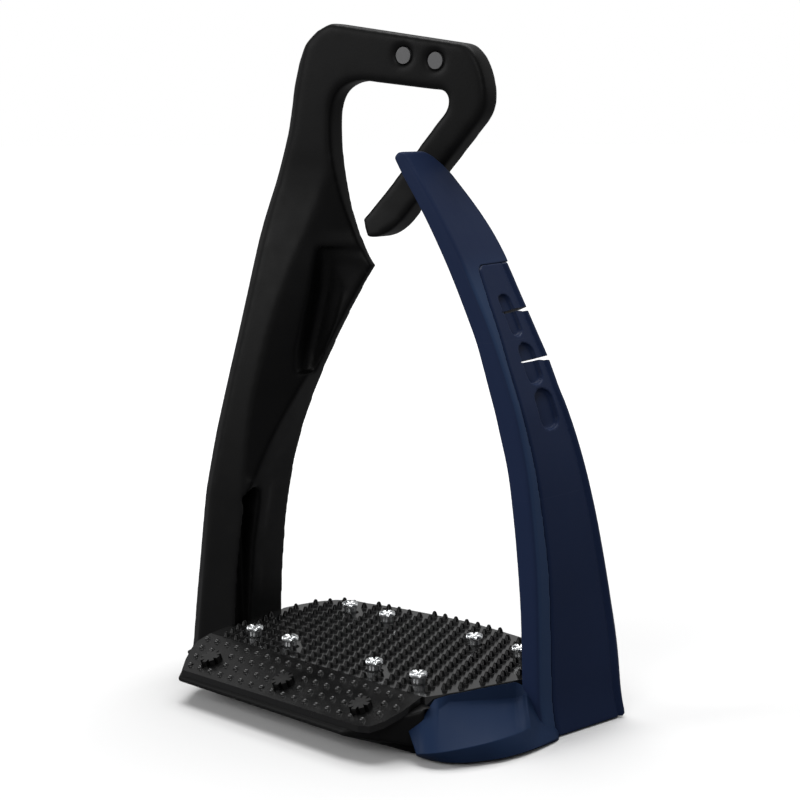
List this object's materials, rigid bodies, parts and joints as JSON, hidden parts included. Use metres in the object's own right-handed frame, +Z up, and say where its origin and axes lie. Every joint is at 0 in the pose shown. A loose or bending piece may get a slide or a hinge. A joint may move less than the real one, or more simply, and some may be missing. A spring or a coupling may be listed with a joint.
{
  "type": "safety stirrup iron",
  "caption": "Safety stirrup iron: rigid hooked branch with leather eye, studded tread, and a flexible outer arm that bends outward to free the foot.",
  "frame": {"origin": "on the flat underside of the footbed, directly below the middle of the tread", "axes": "+Z up towards the leather bar; +X along the frame plane from the rigid branch towards the flexible outer arm; -Y towards the toe-side ramp, +Y towards the rider's heel"},
  "size_m": [0.1469, 0.1028, 0.2085],
  "materials": {
    "frame_moulded_black": "satin glass-filled polyamide, moulded",
    "navy_elastomer": "satin moulded elastomer, dark navy",
    "navy_hard_shell": "satin moulded polymer, dark navy",
    "tread_black": "semi-gloss moulded grip pad",
    "ramp_black": "satin moulded grip pad",
    "stud_steel": "bright zinc-plated steel",
    "ramp_stud_black": "black oxide steel",
    "screw_steel": "stainless steel",
    "spring_steel": "blued spring steel",
    "core_steel": "pressed stainless steel",
    "pin_grey": "grey capped pins",
    "cover_black": "fine-textured polyamide",
    "insert_brass": "knurled brass"
  },
  "bodies": {
    "frame_and_footbed": {"main_frame": "frame_moulded_black", "leather_bar_core": "core_steel", "leather_bar_cover": "cover_black", "leather_bar_pins": "pin_grey", "top_tread_pad": "tread_black", "front_ramp_pad": "ramp_black", "tread_studs": "stud_steel", "ramp_studs": "ramp_stud_black", "pad_screws": "screw_steel", "underside_cover": "cover_black", "cover_screws": "screw_steel", "corner_shoe": "navy_hard_shell", "spring_blade": "spring_steel", "blade_clamp_plate": "core_steel", "blade_bolts": "screw_steel", "blade_inserts": "insert_brass", "arm_panel_foot": "navy_hard_shell"},
    "arm_lower": {"arm_sleeve_lower": "navy_elastomer", "arm_panel_lower": "navy_hard_shell"},
    "arm_middle": {"arm_sleeve_middle": "navy_elastomer", "arm_panel_middle": "navy_hard_shell"},
    "arm_upper": {"arm_sleeve_upper": "navy_elastomer", "arm_panel_upper": "navy_hard_shell"}
  },
  "joints": [
    {"name": "arm_root_flex", "type": "hinge", "parent": "frame_and_footbed", "child": "arm_lower", "pos_m": [0.0594, -0.005, 0.026], "axis": [0, 1, 0], "range_deg": [0, 12], "stiffness_Nm_per_rad": 1.45, "deforming": ["spring_blade"]},
    {"name": "arm_lower_slit_flex", "type": "hinge", "parent": "arm_lower", "child": "arm_middle", "pos_m": [0.0456, -0.005, 0.1079], "axis": [0, 1, 0], "range_deg": [0, 6], "stiffness_Nm_per_rad": 0.04},
    {"name": "arm_upper_slit_flex", "type": "hinge", "parent": "arm_middle", "child": "arm_upper", "pos_m": [0.0401, -0.005, 0.122], "axis": [0, 1, 0], "range_deg": [0, 6], "stiffness_Nm_per_rad": 0.02}
  ],
  "couplings": [
    {"joint": "arm_lower_slit_flex", "follows": "arm_root_flex", "ratio": 0.5},
    {"joint": "arm_upper_slit_flex", "follows": "arm_root_flex", "ratio": 0.5}
  ]
}
